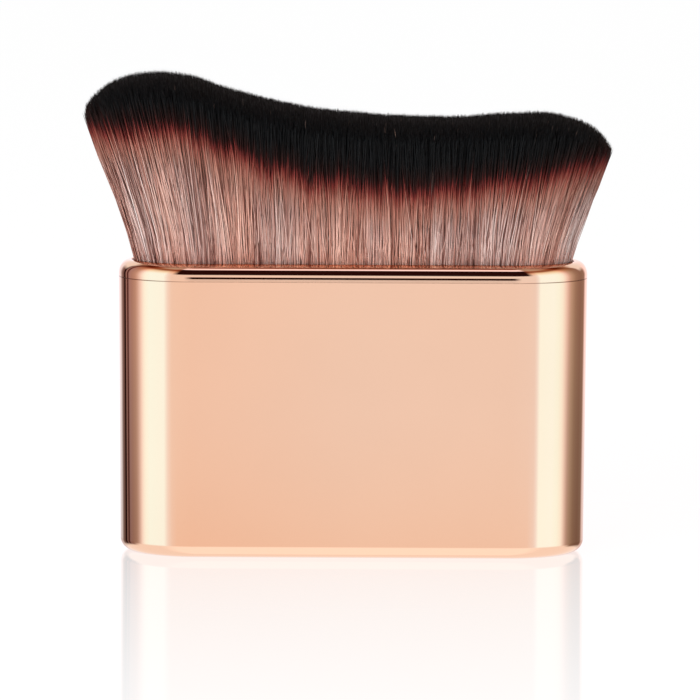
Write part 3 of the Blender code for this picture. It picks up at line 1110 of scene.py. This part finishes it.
    def strands(self, name: str, lines: Array, black: Array, tone: Array) -> Piece:
        """One piece of filaments, each a closed three-sided prism that tapers to a point.

        A corner of a ring is its middle plus the thickness, times the taper, along a direction that turns
        evenly round the filament. The strand map's U is the zone and tone, and its V the height over the
        start of the black. A second map, named for baking, has the same places, because the hair's
        colour depends on them.

        Args:
            name: the piece's name.
            lines: middle lines by filament, ring and axis.
            black: height where each filament's black starts.
            tone: zone and tone of each filament, as one number.

        Returns:
            The piece.
        """
        count, rings, sides = len(lines), len(self.rings), self.sides
        turn = self.rng.uniform(0, 2 * math.pi, count)[:, None] + np.arange(sides) * 2 * math.pi / sides
        out = np.stack([np.cos(turn), np.sin(turn), np.zeros_like(turn)], axis=2)
        wide = self.thickness * self.rng.uniform(*self.thickness_range, count)[:, None] * np.array(self.taper)
        rims = lines[:, :-1, None, :] + wide[:, :, None, None] * out[:, None]
        points = np.concatenate([rims.reshape(count, -1, 3), lines[:, -1:, :]], axis=1)
        each, side = rings * sides + 1, np.arange(sides)
        quads, last = bands(rings, sides), (rings - 1) * sides + side
        tips = np.column_stack([last, np.roll(last, -1), np.full(sides, each - 1)])
        ends = np.concatenate([tips, side[::-1][None]])
        base = (np.arange(count) * each)[:, None, None]
        faces = [(base + quads).reshape(-1, 4), (base + ends).reshape(-1, 3)]
        piece = mesh_piece(name, points.reshape(-1, 3), faces)
        along = BLACK_START + (points[:, :, 2] - black[:, None]) / self.dye_span
        step = np.arange(sides + 1) * self.side_step / self.zones
        across = np.array([0, 1, 1, 0]) + np.tile(side, rings - 1)[:, None]
        quad_u = tone[:, None, None] + step[across]
        end_u = tone[:, None, None] + np.tile(step[:3], (len(ends), 1))
        u = np.concatenate([quad_u.ravel(), end_u.ravel()])
        v = np.concatenate([along[:, quads].ravel(), along[:, ends].ravel()])
        places = np.clip(np.column_stack([u, v]), 0, 1).astype(np.float32).ravel()
        for label in (STRAND_MAP, BAKE_MAP):
            piece.data.uv_layers.new(name=label).uv.foreach_set("vector", places)
        return piece

    def block(self) -> Piece:
        """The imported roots: necked where the band ties them, and as wide as the opening at the top.

        Returns:
            The piece.
        """
        radii = np.repeat([self.band_radius, self.tray_radius, self.block_radius], 2)
        heights = [self.root_bottom, *np.repeat([self.band_top, self.tray_top], 2), RIM_TOP - self.root_sink]
        profile = np.column_stack([radii, heights])
        piece = self.plan.sweep("packed_roots", profile, closed=False)
        piece.data.set_sharp_from_angle(angle=math.radians(self.sharp_angle))
        return piece

    def build(self, hair: Material, soaked: Material) -> None:
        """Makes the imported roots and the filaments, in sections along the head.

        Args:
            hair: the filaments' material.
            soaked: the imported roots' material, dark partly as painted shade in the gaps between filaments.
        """
        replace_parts(wear(self.block(), soaked), "bristles")
        roots = self.roots()
        lines, black = self.centre_lines(roots)
        tone = self.tones(roots)
        edges = np.quantile(roots[:, 0], np.linspace(0, 1, self.sections + 1)[1:-1])
        section = np.searchsorted(edges, roots[:, 0])
        for index in range(self.sections):
            here = section == index
            piece = self.strands(f"hair_section_{index + 1}", lines[here], black[here], tone[here])
            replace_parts(wear(piece, hair), "bristles")


# Inner pieces


class InnerNode(Enum):
    """The pieces inside the handle, which keep their CAD shape."""

    TRAY = "bristle_cup"
    RESIN = "epoxy_bed"
    BAND = "root_band"
    BALLAST = "counterweight"
    TAPE = "weight_tape"


@dataclass
class InnerPieces:
    """Finishes for the pieces that the handle hides."""

    effects: SharedEffects

    def finishes(self) -> dict[InnerNode, Finish]:
        """The finish of each inner piece.

        Returns:
            One finish for each node.
        """
        return {
            InnerNode.TRAY: MouldedFinish("tray_plastic", (0.62, 0.60, 0.57), 0.42, effects=self.effects),
            InnerNode.RESIN: ResinFinish("cured_resin", (0.72, 0.62, 0.40), 0.18),
            InnerNode.BAND: WovenFinish("cotton_band", (0.80, 0.77, 0.70), 0.85),
            InnerNode.BALLAST: SawnSteelFinish("sawn_steel", (0.42, 0.42, 0.44), 0.35, metallic=1.0),
            InnerNode.TAPE: FoamFinish("foam_tape", (0.85, 0.85, 0.83), 0.80),
        }

    def build(self) -> None:
        """Puts each finish in its CAD node's material slot."""
        for node, finish in self.finishes().items():
            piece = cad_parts[node.value]
            piece.data.materials.clear()
            piece.data.materials.append(finish.material())
            LOG.info("%s: dressed as %s", piece.name, finish.name)


# Studio


# A stop of these tables is an angle and then a colour or one value of light. On the walls the angle is the
# turn from the front round to the back, and in the heights it is the rise from the level. The lights are
# fitted to the photograph: the walls' colours began as readings of its handle over the plating's tint.
LEFT_WALL = (
    (0, 1.01, 0.96, 0.95), (36, 1.02, 0.99, 0.98), (42, 1.06, 1.16, 1.24), (48.5, 1.14, 1.59, 1.76),
    (73, 1.12, 1.62, 1.8), (80.5, 1.14, 1.55, 1.65), (85, 1.13, 1.36, 1.45), (89, 1.06, 1.08, 1.15),
    (93, 0.84, 0.79, 0.82), (97.5, 0.62, 0.53, 0.51), (102, 0.49, 0.39, 0.35), (110, 0.4, 0.3, 0.28),
    (118, 0.36, 0.27, 0.29), (121.3, 0.07, 0.022, 0.018), (123.6, 0.07, 0.022, 0.018),
    (125.6, 0.31, 0.215, 0.215), (127.6, 0.31, 0.215, 0.215), (129.6, 0.012, 0.002, 0.001),
    (133.2, 0.012, 0.002, 0.001), (135.5, 0.13, 0.08, 0.075), (138.5, 0.19, 0.13, 0.125),
    (141.5, 0.21, 0.16, 0.16), (145.5, 0.37, 0.36, 0.385), (152, 0.83, 0.89, 1), (160, 0.84, 0.88, 0.97),
    (166, 1, 1, 1.1))
RIGHT_WALL = (
    (0, 1, 1.02, 1.06), (37.5, 1, 1.04, 1.1), (41.5, 1.04, 1.2, 1.34), (46, 1.14, 1.58, 1.73),
    (68, 1.14, 1.59, 1.77), (78, 1.12, 1.56, 1.66), (85.5, 1.12, 1.4, 1.46), (90, 1.05, 1.14, 1.18),
    (95, 0.84, 0.8, 0.82), (99.5, 0.62, 0.56, 0.54), (104, 0.5, 0.45, 0.39), (109.5, 0.4, 0.35, 0.29),
    (115, 0.32, 0.26, 0.21), (121, 0.28, 0.22, 0.18), (130, 0.25, 0.18, 0.145), (137, 0.26, 0.2, 0.16),
    (142.5, 0.26, 0.19, 0.15), (147, 0.56, 0.46, 0.44), (152, 0.95, 0.87, 0.9), (163, 0.98, 0.88, 0.9))
FRONT_HEIGHTS = (
    (-14, 1), (-8.9, 1, 0.87, 0.77), (-8.6, 1, 0.93, 0.87), (-8.1, 1, 0.99, 0.985),
    (-6.3, 1.01, 0.995, 0.98), (-5.8, 1.015, 0.955, 0.9), (-5.5, 1.02, 0.94, 0.87), (-4.9, 1), (20, 1),
    (23.5, 0.022, 0.005, 0.004), (59, 0.022, 0.005, 0.004), (63, 1.33, 1.24, 1.39), (72, 1.33, 1.24, 1.39),
    (77, 0.33, 0.115, 0.055))
SIDE_HEIGHTS = (
    (20, 1), (25.5, 1, 0.945, 0.906), (32.5, 0.98, 0.8, 0.66), (38, 0.9, 0.64, 0.47),
    (44, 0.6, 0.31, 0.2), (49, 0.27, 0.072, 0.027), (56, 0.33, 0.095, 0.045), (61, 0.47, 0.27, 0.2))
DARK_HEIGHTS = (
    (-9, 0.76, 0.67, 0.62), (-7.9, 0.9, 0.89, 0.88), (-7, 1), (-6.2, 1.16, 1.12, 1.12),
    (-5.6, 1.22, 1.1, 1.08))
BACK_HEIGHTS = ((34, 1), (42, 0.47, 0.28, 0.2), (75, 0.47, 0.28, 0.2), (84, 0.9))


@dataclass
class Studio:
    """Floor, surroundings, lamps and camera."""

    camera_aim: Triple = (-0.000424, 0.0, 0.032115)
    camera_distance: float = 0.7575
    camera_tilt: float = 5.707
    camera_roll: float = 0.276
    lens: float = 242.88
    sensor: float = 36.0
    floor_half: float = 6.0
    floor_drop: float = 0.00002
    mirror_fade: Stops = ((0, 0.32), (0.1, 0.27), (0.28, 0.2), (0.52, 0.11), (0.8, 0.04), (1, 0))
    mirror_reach: float = 0.25
    mirror_facing: Stops = ((0, 0.05), (0.45, 0.1), (0.68, 0.45), (0.8, 1))
    mirror_rough: float = 0.02
    floor_matt: float = 0.86
    floor_lit: float = 0.10
    floor_glow: float = 0.94
    ambient: float = 0.54
    right_sharpness: float = 30.0
    direct_depth: float = 2.5
    bounce: Triple = (2.10, 0.86, 0.52)
    gap_dark: Triple = (0.022, 0.005, 0.003)
    lamp_aim: Triple = (0, 0, 0.055)

    def camera(self) -> None:
        """Places the camera by its aim, distance, tilt and roll."""
        tilt, roll = math.radians(self.camera_tilt), math.radians(self.camera_roll)
        back, right = Vector((0, -math.cos(tilt), math.sin(tilt))), Vector((1, 0, 0))
        up = back.cross(right)
        turned = right * math.cos(roll) + up * math.sin(roll)
        risen = up * math.cos(roll) - right * math.sin(roll)
        data = bpy.data.cameras.new("camera")
        data.lens, data.sensor_width = self.lens, self.sensor
        made = bpy.data.objects.new("camera", data)
        bpy.context.scene.collection.objects.link(made)
        place = Matrix.Translation(Vector(self.camera_aim) + back * self.camera_distance)
        made.matrix_world = place @ Matrix((turned, risen, back)).transposed().to_4x4()
        bpy.context.scene.camera = made

    def studio_light(self, board: NodeBoard) -> Socket:
        """What polished metal sees: a colour by direction.

        The wall round the object has a plain front, a tall softbox on each side, dark card beyond it and a
        white backdrop behind. Above the front the room is dark with one pale strip, and the softboxes fade
        upwards. The card's shade changes a little just below the level. A dark gap crosses the front at the
        level, for rays that reach the metal straight from the camera. Over the low card behind, and under the
        horizon, it is white.

        Args:
            board: adds nodes to the world's tree.

        Returns:
            The colour.
        """
        x, y, z = board.split(board.add("TexCoord").outputs["Generated"])
        turn = board.math("ARCTAN2", board.math("ABSOLUTE", x), board.times(y, -1.0))
        turn = board.math("DIVIDE", turn, math.pi)
        rise = board.math("ADD", board.math("DIVIDE", board.math("ARCSINE", z), math.pi), 0.5)

        def by_turn(*stops: tuple[float, ...]) -> Socket:
            """A ramp over the turn from the front, 0, to the back, 180."""
            return board.ramp(turn, tuple((angle / 180, *shade) for angle, *shade in stops))

        def by_rise(*stops: tuple[float, ...]) -> Socket:
            """A ramp over the rise, from -90 to 90."""
            return board.ramp(rise, tuple((angle / 180 + 0.5, *shade) for angle, *shade in stops))

        on_right = board.math("ADD", board.times(x, self.right_sharpness), 1.0, clamp=True)
        wall = board.mix(on_right, by_turn(*LEFT_WALL), by_turn(*RIGHT_WALL))
        heights = board.mix(by_turn((28, 0.0), (37, 1.0)), by_rise(*FRONT_HEIGHTS), by_rise(*SIDE_HEIGHTS))
        card = board.mix(by_turn((88, 0.0), (99, 1.0)), 1.0, by_rise(*DARK_HEIGHTS))
        seen = board.tint(board.tint(wall, heights), card)
        gap = by_rise((-4.7, 0.0), (-4.3, 1.0), (5.3, 1.0), (7.0, 0.0))
        gap = board.tint(gap, by_turn((6, 1.0), (17, 0.0)))
        direct = board.math("LESS_THAN", board.add("LightPath").outputs["Ray Depth"], self.direct_depth)
        seen = board.mix(board.times(gap, direct), seen, self.gap_dark)
        over = board.tint(by_rise((10, 0.0), (20, 1.0)), by_turn((129, 0.0), (136, 1.0)))
        seen = board.mix(over, seen, by_rise(*BACK_HEIGHTS))
        under_front, under_back = by_rise((-16, 1.0), (-9, 0.0)), by_rise((-24, 1.0), (-16, 0.0))
        under = board.mix(by_turn((96, 0.0), (110, 1.0)), under_front, under_back)
        return board.mix(under, seen, by_turn((30, 1.25), (55, 1.08)))

    def surroundings(self) -> None:
        """World: white to the camera and through glass, the studio to polished metal, even light to the rest.

        What polished metal throws onto the hair is a warm light of its own.
        """
        world = bpy.data.worlds.new("studio")
        world.use_nodes = True
        bpy.context.scene.world = world
        board = NodeBoard(world.node_tree)
        rays = board.add("LightPath").outputs
        bounced = board.math("GREATER_THAN", rays["Diffuse Depth"], 0.5)
        seen = board.mix(bounced, self.studio_light(board), self.bounce)
        lit = board.mix(rays["Is Glossy Ray"], self.ambient, seen)
        plain = board.math("MAXIMUM", rays["Is Camera Ray"], rays["Is Transmission Ray"])
        board.feed(world.node_tree.nodes["Background"].inputs["Color"], board.mix(plain, lit, 1.0))

    def floor_material(self) -> Material:
        """White acrylic: matt for the shadow, white to the camera, with a mirror image of the brush.

        The image fades with the distance from the handle's stadium, and when it is seen from above.

        Returns:
            The new material.
        """
        made = bpy.data.materials.new("white_floor")
        made.use_nodes = True
        board = NodeBoard(made.node_tree)
        board.tree.nodes.remove(board.tree.nodes["Principled BSDF"])
        x, y, _ = board.split(board.object_place())
        reach = board.math("SUBTRACT", board.math("ABSOLUTE", x), HALF_LENGTH)
        reach = board.math("MAXIMUM", reach, 0.0)
        square = board.math("ADD", board.times(reach, reach), board.times(y, y))
        away = board.math("SUBTRACT", board.math("SQRT", square), SEAM_RADIUS)
        share = board.ramp(board.times(away, 1 / self.mirror_reach), self.mirror_fade)
        facing = board.add("LayerWeight", {"Blend": 0.5}).outputs["Facing"]
        share = board.times(share, board.ramp(facing, self.mirror_facing))
        matt = board.add("BsdfDiffuse", {"Color": self.floor_matt}).outputs[0]
        glow = board.add("Emission", {"Color": 1.0, "Strength": self.floor_glow}).outputs[0]
        white = board.add("BsdfDiffuse", {"Color": self.floor_lit}).outputs[0]
        pale = board.add("AddShader", {0: glow, 1: white}).outputs[0]
        mirror = board.add("BsdfGlossy", {"Color": 1.0, "Roughness": self.mirror_rough}).outputs[0]
        shiny = board.add("MixShader", {0: share, 1: pale, 2: mirror}).outputs[0]
        seen = board.add("LightPath").outputs["Is Camera Ray"]
        both = board.add("MixShader", {0: seen, 1: matt, 2: shiny}).outputs[0]
        board.feed(board.tree.nodes["Material Output"].inputs["Surface"], both)
        return made

    def floor(self) -> None:
        """A wide level sheet just under the base."""
        corners = np.array([[-1, -1, 0], [1, -1, 0], [1, 1, 0], [-1, 1, 0]]) * self.floor_half
        floor = mesh_piece("floor", corners - (0, 0, self.floor_drop), [np.array([[0, 1, 2, 3]])])
        floor.data.materials.append(self.floor_material())
        floor.visible_glossy = False

    def lamp(self, name: str, place: Triple, size: float, power: float) -> None:
        """A square area lamp that faces the middle of the head and stays out of polished metal.

        Args:
            name: the lamp's name.
            place: where it hangs.
            size: the length of its side.
            power: its power in watts.
        """
        data = bpy.data.lights.new(name, "AREA")
        data.size, data.energy = size, power
        made = bpy.data.objects.new(name, data)
        made.location = place
        aim = Vector(self.lamp_aim) - Vector(place)
        made.rotation_euler = aim.to_track_quat("-Z", "Y").to_euler()
        made.visible_glossy = False
        bpy.context.scene.collection.objects.link(made)

    def build(self) -> None:
        """Sets the stage and the view."""
        self.surroundings()
        self.floor()
        self.lamp("key", place=(-0.55, -0.95, 0.14), size=0.7, power=18.2)
        self.lamp("fill", place=(0.65, -0.90, 0.12), size=0.7, power=6.5)
        self.camera()
        bpy.context.scene.view_settings.view_transform = "Standard"
        LOG.info("studio: floor, surroundings, lamps and camera")


# The brush


def main() -> None:
    """Builds and dresses the brush, then sets it in its studio."""
    logging.basicConfig(level=logging.INFO, format="%(name)s: %(message)s")
    effects = SharedEffects()
    plan = Stadium()
    plating = PlatedFinish("rose_gold_plating", (0.875, 0.56, 0.40), 0.04, metallic=1.0, effects=effects)
    Handle(plan).build(plating.material())
    hair = HairFinish("dyed_filament", (0.4, 0.2, 0.15), 0.42, specular=0.22)
    # The roots' dark brown is partly their soaked colour and partly painted shade for the gaps between
    # filaments.
    soaked = RootFinish("soaked_roots_and_painted_shade", (0.30, 0.14, 0.10), 0.5)
    Head(plan).build(hair.material(), soaked.material())
    InnerPieces(effects).build()
    Studio().build()


if __name__ == "__main__":
    main()
